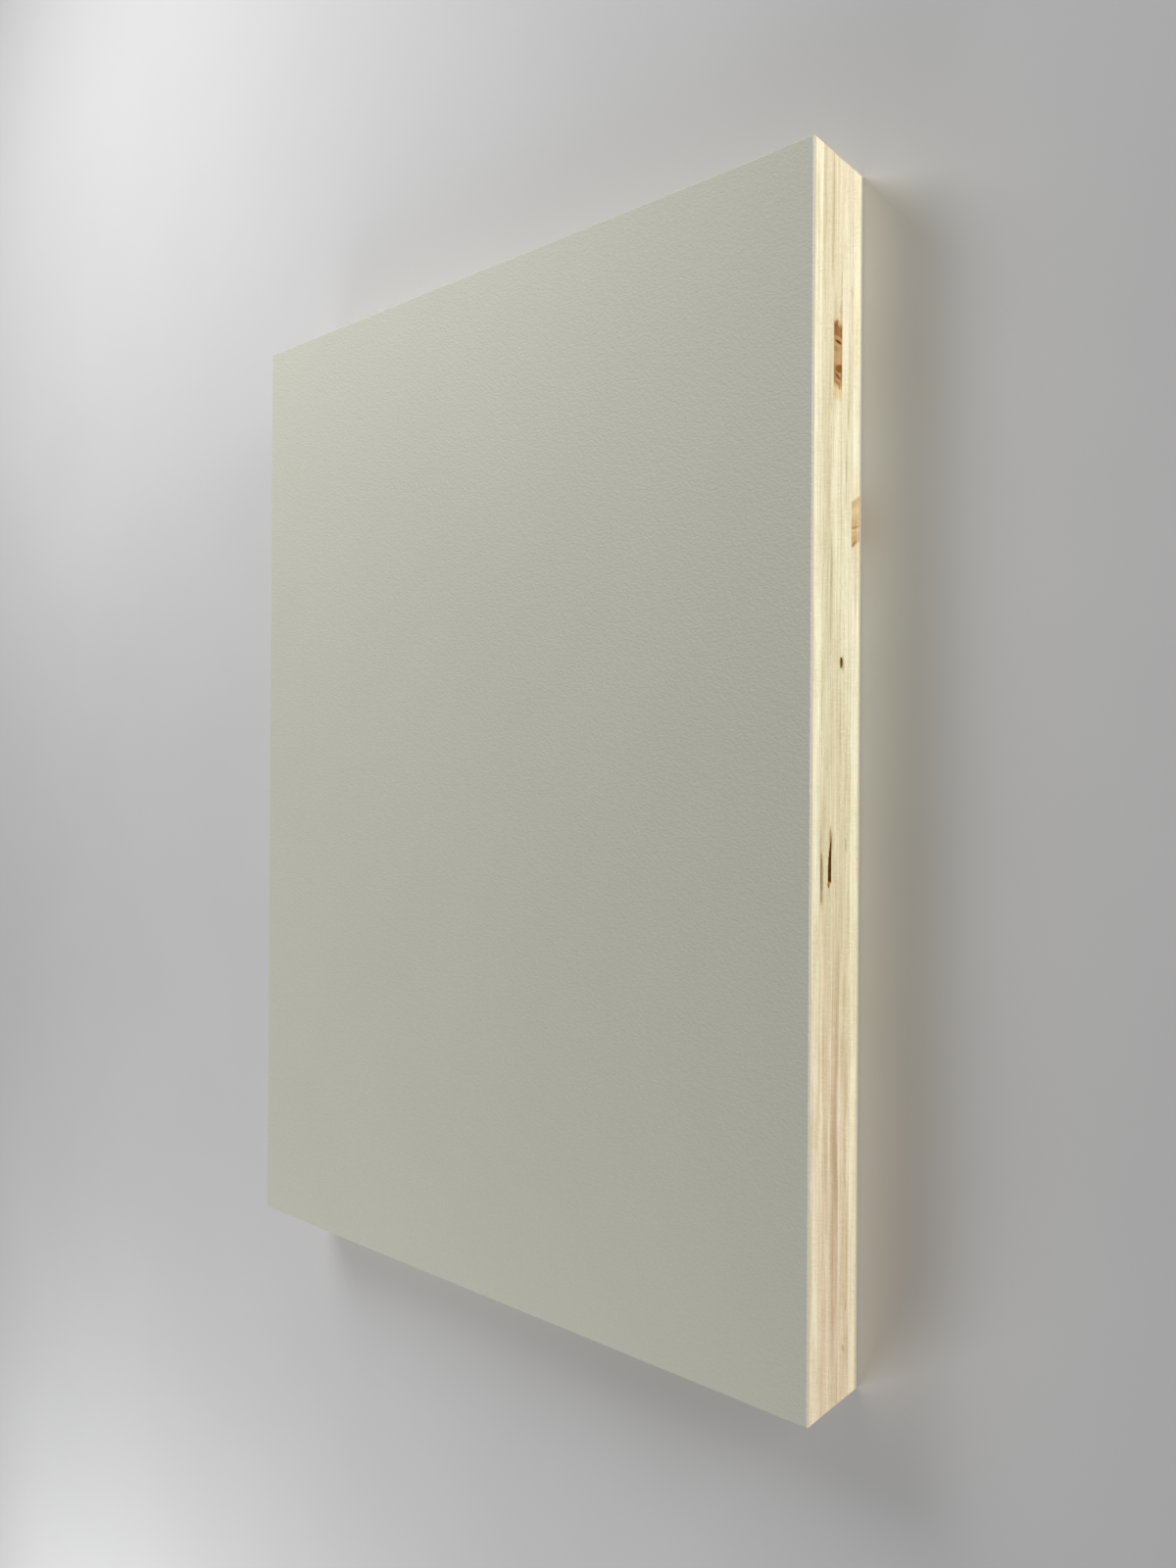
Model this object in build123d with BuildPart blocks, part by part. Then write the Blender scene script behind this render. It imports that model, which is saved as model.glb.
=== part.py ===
from build123d import *
import os

# A sawn plywood sheet: five veneers glued with their grain crossed, and a plastic laminate on each face.
# It lies flat on its back face. The origin is the middle of that face, X runs across the sheet,
# Y along it and Z up through it.

# The sawn outline
panel_width = 172
panel_length = 240

# The lay-up, the same on both sides of the core ply
laminate_thickness = 0.7
outer_ply_thickness = 3.2
crossband_thickness = 4.2
core_ply_thickness = 3.2

# The laminates' outer edges, eased after sawing
arris_break = 0.2

# Three voids show on the +X sawn edge. Each is a gap that a glue line left unfilled, so its straight side
# lies on that glue line. Its place is its middle along the sheet, from the sheet's own middle, as a share
# of the length, its gap is how far it stands open and its reach how far it runs in from the edge.
wedge_void_place_share = -0.064
wedge_void_length = 9.9
wedge_void_gap = 1.1
wedge_void_reach = 14

sliver_void_place_share = -0.077
sliver_void_length = 9.9
sliver_void_gap = 0.95
sliver_void_reach = 1.5

pit_void_place_share = 0.095
pit_void_length = 1.9
pit_void_gap = 0.8
pit_void_reach = 7

# A void narrows inwards, to this share of its mouth.
void_floor_share = 0.4

# The wedge is blunt and undercut at its low end: its heel on the glue line, and a point on its roof with the
# height of the roof there
wedge_heel_share = 0.1
wedge_roof_share = 0.55
wedge_roof_height_share = 0.95

# The other two are blunt at both ends, where they still stand open by this share of their gap.
blunt_end_share = 0.65

# Where each sheet of the lay-up starts, up from the back face
back_ply_bottom = laminate_thickness
lower_crossband_bottom = back_ply_bottom + outer_ply_thickness
core_ply_bottom = lower_crossband_bottom + crossband_thickness
upper_crossband_bottom = core_ply_bottom + core_ply_thickness
face_ply_bottom = upper_crossband_bottom + crossband_thickness
face_laminate_bottom = face_ply_bottom + outer_ply_thickness

# The visible sawn edge, seen from outside: along the sheet to the right and through it upwards
sawn_edge = Plane(origin=(panel_width / 2, 0, 0), x_dir=(0, 1, 0), z_dir=(1, 0, 0))


def blunt_void(middle, roof, length, gap, reach):
    """The mouth and the floor of a void with blunt ends, under the glue line at the height roof."""
    sections = []
    for depth, share in ((0, 1), (reach, void_floor_share)):
        low_along = middle - length * share / 2
        high_along = middle + length * share / 2
        belly = roof - gap * share
        lip = roof - gap * share * blunt_end_share
        with BuildSketch(sawn_edge.offset(-depth)) as section:
            with BuildLine():
                Polyline((low_along, lip), (low_along, roof), (high_along, roof), (high_along, lip))
                ThreePointArc((high_along, lip), (middle, belly), (low_along, lip))
            make_face()
        sections.append(section.sketch)
    return sections


# Back laminate
with BuildPart() as back_laminate:
    with BuildSketch():
        Rectangle(panel_width, panel_length)
    extrude(amount=laminate_thickness)
    chamfer(back_laminate.edges().group_by(Axis.Z)[0], length=arris_break)

# Back ply
with BuildPart() as back_ply:
    with BuildSketch(Plane.XY.offset(back_ply_bottom)):
        Rectangle(panel_width, panel_length)
    extrude(amount=outer_ply_thickness)

# Lower crossband, with the pit void under its upper glue line
with BuildPart() as lower_crossband:
    with BuildSketch(Plane.XY.offset(lower_crossband_bottom)):
        Rectangle(panel_width, panel_length)
    extrude(amount=crossband_thickness)
    pit_middle = pit_void_place_share * panel_length
    pit = blunt_void(pit_middle, core_ply_bottom, pit_void_length, pit_void_gap, pit_void_reach)
    loft(pit, mode=Mode.SUBTRACT)

# Core ply
with BuildPart() as core_ply:
    with BuildSketch(Plane.XY.offset(core_ply_bottom)):
        Rectangle(panel_width, panel_length)
    extrude(amount=core_ply_thickness)

# Upper crossband, with the wedge void above its lower glue line and the sliver void under its upper one
with BuildPart() as upper_crossband:
    with BuildSketch(Plane.XY.offset(upper_crossband_bottom)):
        Rectangle(panel_width, panel_length)
    extrude(amount=crossband_thickness)
    wedge_middle = wedge_void_place_share * panel_length
    for depth, share in ((0, 1), (wedge_void_reach, void_floor_share)):
        length = wedge_void_length * share
        gap = wedge_void_gap * share
        low_along = wedge_middle - length / 2
        with BuildSketch(sawn_edge.offset(-depth)):
            with BuildLine():
                heel = (low_along + length * wedge_heel_share, upper_crossband_bottom)
                shoulder = (low_along, upper_crossband_bottom + gap)
                roof_height = upper_crossband_bottom + gap * wedge_roof_height_share
                roof = (low_along + length * wedge_roof_share, roof_height)
                tip = (low_along + length, upper_crossband_bottom)
                Line(tip, heel)
                Line(heel, shoulder)
                ThreePointArc(shoulder, roof, tip)
            make_face()
    loft(mode=Mode.SUBTRACT)
    sliver_middle = sliver_void_place_share * panel_length
    sliver = blunt_void(sliver_middle, face_ply_bottom, sliver_void_length, sliver_void_gap, sliver_void_reach)
    loft(sliver, mode=Mode.SUBTRACT)

# Face ply
with BuildPart() as face_ply:
    with BuildSketch(Plane.XY.offset(face_ply_bottom)):
        Rectangle(panel_width, panel_length)
    extrude(amount=outer_ply_thickness)

# Face laminate
with BuildPart() as face_laminate:
    with BuildSketch(Plane.XY.offset(face_laminate_bottom)):
        Rectangle(panel_width, panel_length)
    extrude(amount=laminate_thickness)
    chamfer(face_laminate.edges().group_by(Axis.Z)[-1], length=arris_break)

os.makedirs("parts", exist_ok=True)
lay_up = {
    "back_laminate": back_laminate,
    "back_ply": back_ply,
    "lower_crossband": lower_crossband,
    "core_ply": core_ply,
    "upper_crossband": upper_crossband,
    "face_ply": face_ply,
    "face_laminate": face_laminate,
}
for name, piece in lay_up.items():
    piece.part.label = name
    export_step(piece.part, f"parts/{name}.step")
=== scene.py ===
import math
from typing import NamedTuple

import bmesh
import bpy
from mathutils import Matrix, Vector, noise
from mathutils.bvhtree import BVHTree


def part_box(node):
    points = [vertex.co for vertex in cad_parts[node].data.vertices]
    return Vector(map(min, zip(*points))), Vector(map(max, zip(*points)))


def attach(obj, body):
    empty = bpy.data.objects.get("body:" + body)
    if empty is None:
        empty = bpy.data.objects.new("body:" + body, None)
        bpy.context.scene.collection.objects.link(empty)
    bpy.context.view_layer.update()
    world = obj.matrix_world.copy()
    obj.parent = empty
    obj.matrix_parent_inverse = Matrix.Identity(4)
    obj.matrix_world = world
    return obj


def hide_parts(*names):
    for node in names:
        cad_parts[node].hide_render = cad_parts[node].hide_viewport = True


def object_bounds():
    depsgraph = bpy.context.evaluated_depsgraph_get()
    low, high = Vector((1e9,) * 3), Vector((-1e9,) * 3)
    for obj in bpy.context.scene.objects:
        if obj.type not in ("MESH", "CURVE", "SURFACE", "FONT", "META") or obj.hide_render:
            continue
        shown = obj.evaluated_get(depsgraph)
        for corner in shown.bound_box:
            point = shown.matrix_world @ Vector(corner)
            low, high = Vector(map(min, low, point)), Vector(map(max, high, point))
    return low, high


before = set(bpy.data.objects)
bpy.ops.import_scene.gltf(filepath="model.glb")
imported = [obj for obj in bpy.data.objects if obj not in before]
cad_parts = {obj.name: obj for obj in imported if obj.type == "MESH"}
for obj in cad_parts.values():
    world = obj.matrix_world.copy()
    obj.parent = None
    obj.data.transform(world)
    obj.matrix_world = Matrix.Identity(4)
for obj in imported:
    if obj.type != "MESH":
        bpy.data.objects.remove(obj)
CAD_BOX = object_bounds()

bl_info = {
    "name": "Laminated plywood sheet",
    "version": (1, 0, 0),
    "blender": (4, 5, 0),
    "location": "3D View > Sidebar > Plywood",
    "description": "Sawn veneers, white laminates and a plain stage for a plywood sheet that lies flat",
    "category": "Object",
}

MM = 0.001
SHEET_LOW, SHEET_HIGH = CAD_BOX
_, LENGTH, THICKNESS = SHEET_HIGH - SHEET_LOW
BODY = "root"

# The corner that the end cut left standing reaches down to here.
TOOTH_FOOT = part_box("upper_crossband")[0].z

# A direction with more than this along an axis runs along it.
MOSTLY = 0.5

# A point that lies no deeper than this under the outline is on a wall.
TOUCH = 0.001 * MM

# A face with more corners than this is a flat, not a cell of a wall.
WALL_CORNERS = 4

# Faces that meet at more than this angle keep a sharp edge between them.
SHARP_ANGLE = math.radians(40)

# Name of the map on which the walls and flats are laid out
MAP_NAME = "OFBake"

# Attributes of a veneer's points: how deep in a void each lies, and whether its fibres are cut across
HOLLOW, CUT_ENDS = "hollow", "cut_ends"

# Input and output numbers of the colour Mix node, whose sockets share their names
MIX_SHARE, MIX_FROM, MIX_TO, MIX_COLOUR = 0, 6, 7, 2

# Setting of a Map Range node that eases in and out
SMOOTH = {"interpolation_type": "SMOOTHSTEP"}

# How far the yearly layers of a veneer wander up and down, and how wide a glue line darkens each veneer
LAYER_WANDER = 0.45 * MM
GLUE_LINE = 0.12 * MM

# Features of a veneer's grain, in millimetres across it, along it and through the sheet. Real fibres and
# pores are finer, and are drawn as coarse as they need to show.
LAYER_SIZE = (14, 50, 0.8)
LINE_SIZE = (7, 20, 0.14)
FIBRE_SIZE = (0.2, 5, 0.2)
PORE_SIZE = (0.16, 1.4, 0.16)

# Features of the other patterns, in millimetres across the sheet, along it and through it
WAVE_SIZE = (40, 15, 400)
FLECK_SIZE = (0.6, 1.0, 0.26)
CLOUD_SIZE = (30, 24, 2.2)
KNOT_BORDER_SIZE = (0.7, 0.9, 0.7)
STREAK_BORDER_SIZE = (4, 9, 0.4)
HAIRLINE_STRETCH_SIZE = (0.8, 1.7, 0.8)
TORN_WOOD_SIZE = (1.0, 0.9, 0.5)
GLUE_PATCH_SIZE = (9, 9, 50)
GLUE_BLOTCH_SIZE = (1.2, 1.6, 1.2)
SAW_PATCH_SIZE = (8, 8, 3)
LAMINATE_CLOUD_SIZE = (30, 30, 30)
BACKING_CHIP_SIZE = (0.5, 0.5, 0.5)
FLOOR_MOTTLE_SIZE = (60, 60, 60)

# Height of one saw mark, in millimetres
SAW_LINE_HEIGHT = 4.0

# The middle of a pattern's shares, and the two between which nearly all of them lie
PATTERN_MIDDLE = 0.5
PATTERN_SPAN = (0.3, 0.7)

# Roughness at the ends of that span
WOOD_ROUGHNESS = (0.68, 0.86)
GLUE_ROUGHNESS = (0.5, 0.7)
LAMINATE_ROUGHNESS = (0.5, 0.6)
FLOOR_ROUGHNESS = 0.85

# How much the fibres add to the bump of the saw marks, and the depth of other fine bumps
FIBRE_SHARE = 0.6
GLUE_RIPPLE = 0.03 * MM
FLOOR_RIPPLE = 0.01 * MM

# Thickness of the laminate's decorative skin, where its arris is cut
DECOR_SKIN = 0.02 * MM

# Length of the camera's sensor in millimetres, and the nearest thing that the camera shows
SENSOR = 36.0
NEAREST_VIEW = 10 * MM


def linear(hex_colour):
    """The linear red, green and blue of an sRGB colour written as six hex digits."""
    shares = [int(hex_colour[i:i + 2], 16) / 255 for i in (0, 2, 4)]
    return tuple(s / 12.92 if s <= 0.04045 else ((s + 0.055) / 1.055) ** 2.4 for s in shares)


def shaded(colour, share):
    """A colour with this share of its light."""
    return tuple(c * share for c in colour)


def opaque(colour):
    """A colour with full alpha, as shader sockets take it."""
    return (*colour[:3], 1.0)


class Mark(NamedTuple):
    """A knot, stain or line that the wood shows on the edge with the voids, in millimetres."""

    colour: str  # a name in VeneerColours
    down: float  # its middle, from the sheet's far end
    deep: float  # its middle, from the show face
    half_length: float
    half_height: float
    tilt: float = 0.0  # degrees that it leans
    soft: float = 0.9  # share of its size over which it fades
    strength: float = 1.0


class Ply(NamedTuple):
    """One veneer of the lay-up."""

    piece: str
    node: str
    across: bool  # the grain runs across the sheet
    colour: str  # a name in VeneerColours
    step: float  # how far the saw left it back from its neighbours, in millimetres
    marks: tuple  # in the wood
    # The stains include dark spots inside the voids, which are partly painted shade.
    stains: tuple = ()  # of glue and dirt, in and beside a void

    @property
    def slot(self):
        """Name of its material slot."""
        return "cross_grain_veneer" if self.across else "long_grain_veneer"


class Lamp(NamedTuple):
    """A soft lamp of the stage, in millimetres."""

    name: str
    place: tuple
    aim: tuple
    size: tuple  # across and up
    level: float  # of its light at its aim, where 1 shows colours as written


# A mark this high crosses its whole ply, so that only its ends show.
THROUGH = 14.0

# A mark no higher than this is a hairline, which the grain breaks up.
HAIRLINE = 0.2

# A mark more than this many times as long as it is high is a streak, whose border wavers along the grain.
STREAK_SHARE = 3

# Tints that run through all the veneers: partly the wood's own drift in tone, partly a painted tint of the
# light, cool towards the middle and pinkish towards the near end
SHEET_TONES_AND_LIGHT_TINTS = (
    Mark("lime", 98, 9.7, 66, 60, soft=1.2, strength=0.4),
    Mark("rose", 222, 9.7, 52, 60, soft=1.2, strength=0.22),
)
FACE_MARKS = (
    Mark("tan", 168, 2.6, 26, 1.2, strength=0.1),
    Mark("tan", 110, 3.5, 90, 0.25, strength=0.35),
    Mark("pale", 60, 1.4, 60, 0.3, strength=0.4),
    Mark("rose", 202, 1.2, 46, 0.5, strength=0.25),
)
UPPER_MARKS = (
    Mark("olive", 98, 6.0, 30, 2.2, strength=0.35),
    Mark("tan", 12, 7.7, 16, 0.5, strength=0.5),
    Mark("tan", 58, 5.8, 22, 1.6, strength=0.35),
    Mark("tan", 10, 4.6, 22, 0.6, strength=0.4),
    Mark("tan", 148, 6.2, 34, 2.6, strength=0.4),
    Mark("check", 79, 7.5, 5.0, 0.42, strength=0.3),
    Mark("check", 96, 7.35, 14, 0.12, strength=0.4),
    Mark("check", 53, 7.2, 8, 0.1, strength=0.35),
    Mark("check", 104, 4.2, 14, 0.1, strength=0.35),
    Mark("check", 152, 7.4, 9, 0.12, strength=0.45),
    Mark("check", 131, 4.2, 2.9, 0.22, strength=0.45),
    Mark("rose", 202, 6.2, 52, 2.6, strength=0.35),
    Mark("pale", 188, 7.95, 58, 0.3, strength=0.4),
    Mark("pale", 202, 4.3, 54, 0.8, strength=0.55),
    Mark("tan", 188, 5.4, 26, 0.4, strength=0.4),
)
UPPER_STAINS_AND_SHADE = (
    Mark("amber", 130.6, 7.75, 1.5, 0.4, soft=1.2, strength=0.8),
    Mark("amber", 137.5, 7.4, 4.4, 0.35, strength=0.4),
    # A dark spot inside the void: partly dark stain, partly painted shade
    Mark("knot_dark", 139.6, 7.1, 0.7, 0.4, soft=0.6, strength=0.7),
    Mark("ash", 138.6, 4.45, 5.6, 0.7, soft=0.5, strength=0.9),
)
CORE_MARKS = (
    Mark("tan", 136, 9.7, 46, THROUGH, soft=0.9, strength=0.45),
    Mark("heart", 198, 9.8, 58, 1.8, strength=0.5),
    Mark("heart", 185, 10.2, 15, 1.15, strength=0.75),
    Mark("heart", 219, 9.8, 12, 0.9, strength=0.5),
    Mark("heart", 172, 10.7, 14, 0.3, strength=0.5),
    Mark("heart", 196, 9.3, 10, 0.25, strength=0.5),
    Mark("heart", 214, 10.8, 14, 0.22, strength=0.5),
    Mark("pale", 188, 8.25, 58, 0.25, strength=0.45),
    Mark("rose", 95.5, 8.9, 2.6, 0.7, strength=0.35),
    Mark("check", 25, 11.1, 6, 0.12, strength=0.4),
    Mark("check", 83, 11.1, 8, 0.12, strength=0.3),
    Mark("tan", 29, 8.9, 2.2, 0.5, strength=0.5),
    Mark("tan", 29.4, 10.9, 1.5, 0.5, strength=0.6),
    # The large knot
    Mark("knot_cream", 45.0, 9.7, 1.9, THROUGH, strength=0.85),
    Mark("knot_cream", 31.4, 9.8, 0.9, 1.5, strength=0.6),
    Mark("knot_pale", 38.2, 9.75, 6.3, THROUGH, soft=0.16),
    Mark("knot_brown", 33.8, 9.8, 1.2, THROUGH, soft=0.9, strength=0.85),
    Mark("knot_brown", 32.5, 9.0, 0.9, 0.5, tilt=-30, strength=0.7),
    Mark("knot_dark", 32.3, 9.4, 0.9, 0.16, tilt=-30, strength=0.6),
    Mark("knot_light", 35.0, 9.8, 0.35, 1.5, soft=0.8, strength=0.7),
    Mark("knot_brown", 35.7, 9.8, 0.5, 1.5, strength=0.6),
    Mark("knot_dark", 35.72, 9.8, 0.24, 1.15, soft=0.6),
    Mark("knot_brown", 37.2, 9.2, 0.5, 1.2, tilt=10, strength=0.35),
    Mark("knot_brown", 42.0, 9.7, 1.7, THROUGH, soft=0.8, strength=0.6),
    Mark("knot_orange", 40.75, 10.3, 0.75, 1.4, tilt=14, soft=0.7),
    Mark("knot_light", 41.85, 9.8, 0.12, 1.2, tilt=-12, soft=0.8, strength=0.6),
    Mark("knot_dark", 42.45, 9.6, 0.3, 0.85, tilt=-24, soft=0.8, strength=0.75),
    Mark("knot_light", 43.1, 9.8, 0.26, 1.2, tilt=-6, soft=0.8, strength=0.7),
    Mark("knot_brown", 43.65, 9.4, 0.24, 0.9, soft=0.8, strength=0.5),
    Mark("knot_brown", 44.3, 10.2, 0.5, 0.25, strength=0.5),
)
CORE_STAINS_AND_SHADE = (
    Mark("amber", 131.9, 8.25, 1.9, 0.3, soft=1.2, strength=0.55),
    Mark("amber", 97.3, 11.2, 1.3, 0.4, strength=0.6),
    # A dark spot inside the pit: partly dark stain, partly painted shade
    Mark("knot_dark", 97.3, 11.25, 0.85, 0.24, soft=0.6, strength=0.75),
)
LOWER_MARKS = (
    Mark("rose", 212, 13.4, 54, THROUGH, soft=0.9, strength=0.45),
    Mark("tan", 145, 13.6, 36, THROUGH, soft=1.0, strength=0.45),
    Mark("tan", 60, 14.4, 40, 0.5, strength=0.3),
    Mark("amber", 24.5, 15.2, 1.0, 0.34, tilt=8, strength=0.45),
    Mark("tan", 28, 15.2, 5, 0.3, strength=0.7),
    Mark("check", 49.3, 13.75, 2.4, 0.21, strength=0.4),
    Mark("amber", 57.6, 13.4, 5.2, 0.22, strength=0.45),
    Mark("check", 60, 13.4, 2.4, 0.22, strength=0.45),
    Mark("check", 64.8, 13.2, 2.6, 0.21, strength=0.45),
    Mark("pale", 66, 12.9, 9, 0.3, strength=0.6),
    Mark("check", 83, 11.95, 8, 0.12, strength=0.3),
    Mark("pale", 188, 11.6, 62, 0.36, strength=0.2),
    Mark("pale", 178, 15.2, 26, 0.7, strength=0.5),
    Mark("check", 132.5, 13.8, 1.3, 0.21, strength=0.6),
    Mark("tan", 207, 14.9, 10, 0.5, strength=0.7),
    Mark("tan", 197.5, 13.8, 3.6, 0.4, tilt=14, strength=0.6),
    Mark("tan", 216, 14.8, 8, 0.5, strength=0.6),
    Mark("knot_brown", 222, 14.7, 1.4, 0.22, strength=0.4),
    Mark("tan", 161, 13.3, 3.2, 0.9, strength=0.5),
    Mark("check", 230, 13.8, 0.65, 0.3, tilt=20, strength=0.5),
)
LOWER_STAINS = (
    Mark("amber", 97.3, 12.1, 1.5, 0.45, strength=0.5),
)
BACK_MARKS = (
    Mark("tan", 80, 17.4, 8, 1.1, strength=0.5),
    Mark("pale", 205, 17.2, 46, 1.0, strength=0.3),
    # The slanting knot
    Mark("knot_cream", 69.0, 17.1, 6.2, THROUGH, tilt=30, strength=0.35),
    Mark("knot_tan", 69.0, 17.1, 3.9, THROUGH, tilt=31, soft=0.12, strength=0.95),
    Mark("knot_pale", 65.2, 17.2, 0.5, THROUGH, tilt=31, strength=0.6),
    Mark("knot_cream", 67.0, 17.2, 0.6, 1.7, tilt=22, strength=0.8),
    Mark("knot_pale", 69.2, 17.0, 0.8, THROUGH, tilt=20, strength=0.45),
    Mark("knot_brown", 70.1, 17.2, 0.24, 1.9, tilt=17, soft=0.8, strength=0.6),
    Mark("knot_cream", 70.8, 17.0, 0.3, 1.6, tilt=17, soft=0.8, strength=0.8),
    Mark("knot_brown", 71.1, 16.6, 0.16, 1.0, tilt=24, soft=0.8, strength=0.35),
    Mark("knot_pale", 72.5, 17.2, 0.9, THROUGH, tilt=27, strength=0.7),
    Mark("knot_brown", 73.5, 16.5, 0.3, 1.2, tilt=34, soft=0.8, strength=0.6),
)
PLIES = (
    Ply("face_veneer", "face_ply", False, "outer", 0.0, FACE_MARKS),
    Ply("upper_crossband_veneer", "upper_crossband", True, "upper", 0.035, UPPER_MARKS, UPPER_STAINS_AND_SHADE),
    Ply("core_veneer", "core_ply", False, "core", 0.02, CORE_MARKS, CORE_STAINS_AND_SHADE),
    Ply("lower_crossband_veneer", "lower_crossband", True, "lower", 0.03, LOWER_MARKS, LOWER_STAINS),
    Ply("back_veneer", "back_ply", False, "outer", 0.0, BACK_MARKS),
)
LAMPS = (
    Lamp("edge_lamp", (1300, 700, 90), (86, 30, 10), (800, 150), 1.06),
    Lamp("face_lamp", (-225, 310, 300), (-40, 30, 19), (240, 240), 0.54),
    Lamp("fill_lamp", (-200, -420, 210), (30, -100, 19), (260, 260), 0.4),
)


class SawnEdgeSizes(bpy.types.PropertyGroup):
    """Relief that the saw and the wood give the four sawn edges."""

    fine_cell: bpy.props.FloatProperty(
        name="Fine cell", description="Mesh spacing along the edge with the voids",
        default=0.16 * MM, unit="LENGTH", precision=6)
    coarse_cell: bpy.props.FloatProperty(
        name="Coarse cell", description="Mesh spacing along the other edges",
        default=0.6 * MM, unit="LENGTH", precision=6)
    row: bpy.props.FloatProperty(
        name="Row", description="Mesh spacing through the thickness of a veneer",
        default=0.16 * MM, unit="LENGTH", precision=6)
    saw_pitch: bpy.props.FloatProperty(
        name="Saw mark pitch", description="Spacing of the fine marks of the saw's teeth",
        default=0.4 * MM, unit="LENGTH", precision=6)
    saw_depth: bpy.props.FloatProperty(
        name="Saw mark depth", description="Depth of the fine saw marks",
        default=0.03 * MM, unit="LENGTH", precision=6)
    saw_lean: bpy.props.FloatProperty(
        name="Saw mark lean",
        description="Lean of the saw marks at the far end, which turns over along the edge",
        default=math.radians(26), unit="ROTATION")
    chatter_pitch: bpy.props.FloatProperty(
        name="Chatter pitch", description="Spacing of the broad waves that the saw left",
        default=2.3 * MM, unit="LENGTH", precision=6)
    chatter_depth: bpy.props.FloatProperty(
        name="Chatter depth", description="Depth of the broad waves",
        default=0.02 * MM, unit="LENGTH", precision=6)
    fibre_depth: bpy.props.FloatProperty(
        name="Fibre relief", description="Depth of the raised and torn fibres",
        default=0.03 * MM, unit="LENGTH", precision=6)
    tooth_step: bpy.props.FloatProperty(
        name="Tooth step", description="Height of the corner that the end cut left standing",
        default=0.2 * MM, unit="LENGTH", precision=6)
    tooth_width: bpy.props.FloatProperty(
        name="Tooth width", description="Width of the corner that the end cut left standing",
        default=8.7 * MM, unit="LENGTH", precision=6)


class VeneerColours(bpy.types.PropertyGroup):
    """Colours of the veneers, their knots and stains, and the dried glue."""

    outer: bpy.props.FloatVectorProperty(
        name="Outer plies", description="Clean pale sapwood of the two outer plies",
        default=linear("EFE8CC"), subtype="COLOR")
    core: bpy.props.FloatVectorProperty(
        name="Core ply", description="Sapwood of the core ply",
        default=linear("E6DCBF"), subtype="COLOR")
    upper: bpy.props.FloatVectorProperty(
        name="Upper crossband", description="Sapwood of the upper crossband",
        default=linear("EDE5C9"), subtype="COLOR")
    lower: bpy.props.FloatVectorProperty(
        name="Lower crossband", description="Sapwood of the lower crossband",
        default=linear("F5F0D7"), subtype="COLOR")
    end_grain: bpy.props.FloatVectorProperty(
        name="End grain",
        description="Tint of the edges where the fibres are cut across, laid over the wood's colour",
        default=linear("F3EFEB"), subtype="COLOR")
    pale: bpy.props.FloatVectorProperty(
        name="Pale", description="Bright lines of clean glue and sapwood",
        default=linear("F0E8CF"), subtype="COLOR")
    tan: bpy.props.FloatVectorProperty(
        name="Tan", description="Slight darkening in sound wood",
        default=linear("CDBE96"), subtype="COLOR")
    # Partly a painted tint of the light, laid through all the veneers towards the sheet's middle
    lime: bpy.props.FloatVectorProperty(
        name="Lime", description="Cool tint of the sapwood towards the sheet's middle",
        default=linear("E8E9CE"), subtype="COLOR")
    olive: bpy.props.FloatVectorProperty(
        name="Olive", description="Grey green tint in sound wood",
        default=linear("C6BF97"), subtype="COLOR")
    # Also laid through all the veneers towards the near end, where it is partly a painted tint of the light
    rose: bpy.props.FloatVectorProperty(
        name="Rose", description="Pinkish tint in sound wood",
        default=linear("D8BFA6"), subtype="COLOR")
    heart: bpy.props.FloatVectorProperty(
        name="Heartwood", description="Pinkish brown heartwood in the core ply",
        default=linear("C4A98F"), subtype="COLOR")
    check: bpy.props.FloatVectorProperty(
        name="Check", description="Hairline checks and grey streaks",
        default=linear("867A58"), subtype="COLOR")
    amber: bpy.props.FloatVectorProperty(
        name="Amber", description="Wood that glue and dirt have stained at a void",
        default=linear("A07C3C"), subtype="COLOR")
    ash: bpy.props.FloatVectorProperty(
        name="Ash", description="Grey brown floor of the shallow void",
        default=linear("CFC09C"), subtype="COLOR")
    knot_cream: bpy.props.FloatVectorProperty(
        name="Knot, cream",
        description="Light bands of the slanting knot and the fading rim of the large one",
        default=linear("E2C798"), subtype="COLOR")
    knot_light: bpy.props.FloatVectorProperty(
        name="Knot, light", description="Light bands of the large knot",
        default=linear("CC9E70"), subtype="COLOR")
    knot_tan: bpy.props.FloatVectorProperty(
        name="Knot, tan", description="Ground of the slanting knot",
        default=linear("D3B98B"), subtype="COLOR")
    knot_pale: bpy.props.FloatVectorProperty(
        name="Knot, pale brown", description="Ground of the large knot",
        default=linear("C3A273"), subtype="COLOR")
    knot_brown: bpy.props.FloatVectorProperty(
        name="Knot, brown", description="Brown bands of the knots",
        default=linear("936431"), subtype="COLOR")
    knot_orange: bpy.props.FloatVectorProperty(
        name="Knot, orange", description="Orange brown band of the large knot",
        default=linear("8A5812"), subtype="COLOR")
    # Also laid as dark spots inside the voids, where it is partly painted shade
    knot_dark: bpy.props.FloatVectorProperty(
        name="Knot, dark", description="Bark lines in the large knot",
        default=linear("5C3202"), subtype="COLOR")
    recess: bpy.props.FloatVectorProperty(
        name="Recess", description="Torn wood just inside a void",
        default=linear("C49C52"), subtype="COLOR")
    # Deeper in a void this darkening is painted shade over the torn wood's own brown; the blotches of the
    # dried glue take it too
    hollow: bpy.props.FloatVectorProperty(
        name="Void", description="Wood deep inside a void",
        default=linear("6A4512"), subtype="COLOR")
    glue: bpy.props.FloatVectorProperty(
        name="Glue", description="Dried glue between the sheets of the lay-up",
        default=linear("D8963A"), subtype="COLOR")
    grain: bpy.props.FloatVectorProperty(
        name="Grain", description="Tint of the darker layers and fibres, laid over the wood's own colour",
        default=linear("DAD1BC"), subtype="COLOR")
    pore: bpy.props.FloatVectorProperty(
        name="Pores", description="Tint of the open pores, laid over the wood's own colour",
        default=linear("908871"), subtype="COLOR")


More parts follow.
